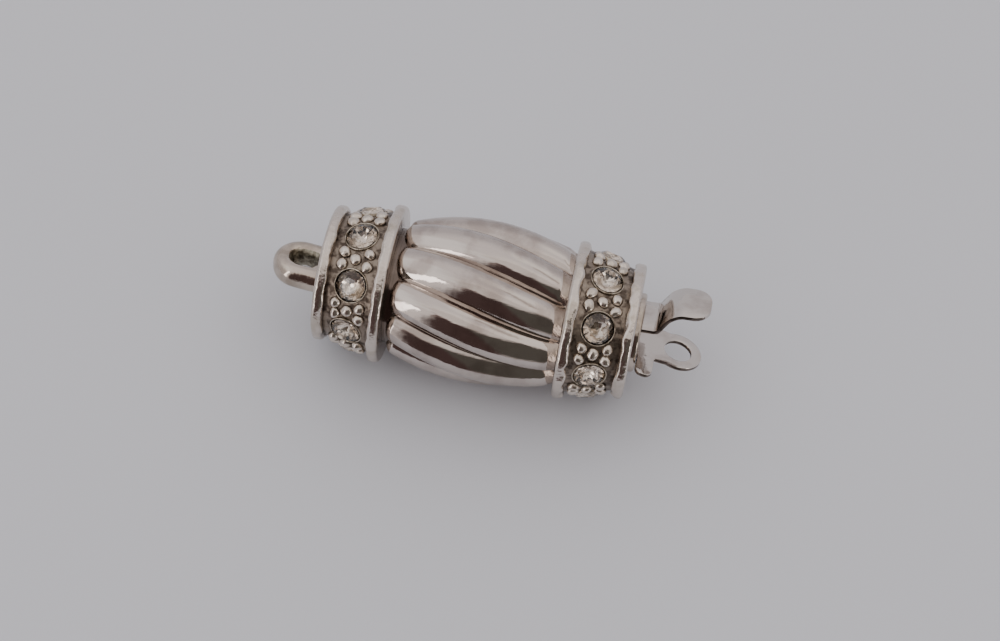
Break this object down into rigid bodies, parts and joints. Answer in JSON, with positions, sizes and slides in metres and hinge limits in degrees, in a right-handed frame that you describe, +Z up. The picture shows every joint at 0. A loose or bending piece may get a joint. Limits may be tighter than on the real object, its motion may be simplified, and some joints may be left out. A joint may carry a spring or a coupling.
{
  "type": "barrel box clasp",
  "caption": "Barrel-shaped box clasp with a fluted body, rimmed bands of round set stones, a cast end loop and a sprung tongue with a ring and thumb tab.",
  "frame": {"origin": "middle of the lying clasp's outline, on the table it lies on", "axes": "+X along the barrel towards the tongue, +Z up from the table, +Y away from the viewer of the picture"},
  "size_m": [0.0331, 0.0124, 0.0121],
  "materials": {
    "bright_plate": "mirror-bright rhodium plate",
    "band_plate": "bright plate with olive-brown tarnish in the recesses",
    "cast_plate": "bright plate over a cast surface",
    "spring_plate": "bright plated spring sheet",
    "stone": "clear cut glass over foil"
  },
  "bodies": {
    "case": {"fluted_barrel": "bright_plate", "left_band": "band_plate", "right_band": "band_plate", "loop_end": "cast_plate", "slotted_end": "cast_plate", "left_stone_1": "stone", "left_stone_2": "stone", "left_stone_3": "stone", "left_stone_4": "stone", "left_stone_5": "stone", "left_stone_6": "stone", "left_stone_7": "stone", "left_stone_8": "stone", "right_stone_1": "stone", "right_stone_2": "stone", "right_stone_3": "stone", "right_stone_4": "stone", "right_stone_5": "stone", "right_stone_6": "stone", "right_stone_7": "stone", "right_stone_8": "stone"},
    "tongue": {"tongue": "spring_plate"},
    "upper_leaf": {"thumb_leaf": "spring_plate"}
  },
  "joints": [
    {"name": "tongue_slide", "type": "slide", "parent": "case", "child": "tongue", "axis": [1, 0, 0], "range_m": [0, 0.0085]},
    {"name": "leaf_press", "type": "hinge", "parent": "tongue", "child": "upper_leaf", "pos_m": [0.00426, 0.00051, 0.0072], "axis": [0, 0.9162, -0.4007], "range_deg": [0, 6], "stiffness_Nm_per_rad": 0.02}
  ]
}
